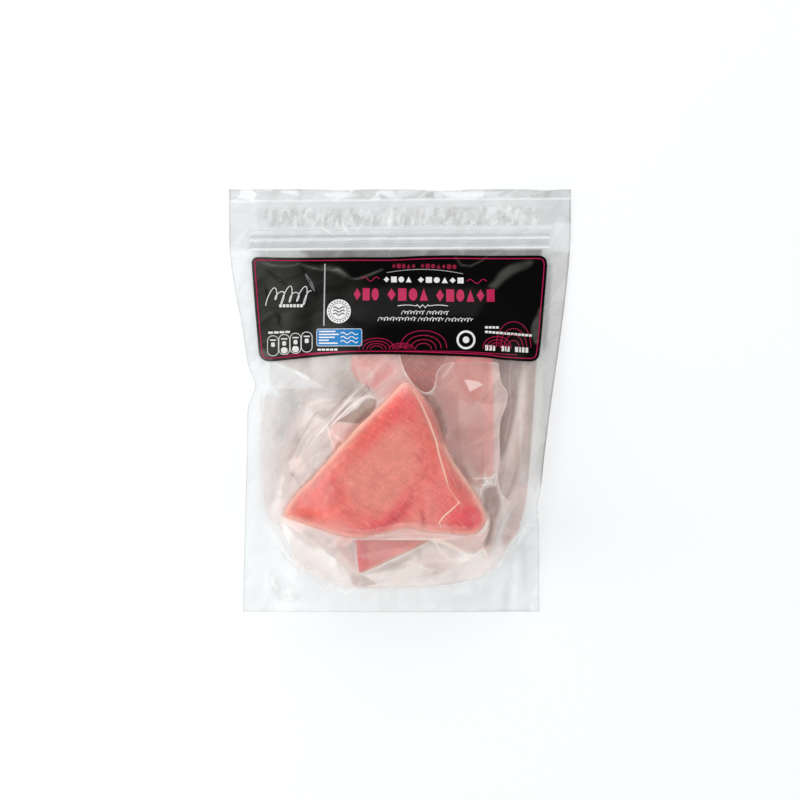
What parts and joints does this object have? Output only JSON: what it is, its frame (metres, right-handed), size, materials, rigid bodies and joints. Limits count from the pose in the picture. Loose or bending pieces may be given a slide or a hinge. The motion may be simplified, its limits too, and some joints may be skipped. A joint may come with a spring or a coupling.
{
  "type": "pack of raw tuna steaks",
  "caption": "Clear resealable stand-up pouch of raw tuna steaks, lying on its back, with a dark printed front panel, a press-to-close zip and a folded bottom gusset.",
  "frame": {"origin": "centre of the bounding box on the floor plane, under the back film", "axes": "+Y up the pouch from its gusset to its zip, +X to the right across its front, +Z out of its front"},
  "size_m": [0.2048, 0.253, 0.037],
  "materials": {
    "film": "clear, slightly milky plastic film with creases, over pink fish",
    "print": "glossy black print with magenta, white and blue shapes",
    "zip_plastic": "clear pale ribbed plastic"
  },
  "bodies": {
    "root": {"pouch": "film", "label": "print", "zip": "zip_plastic"}
  },
  "joints": []
}
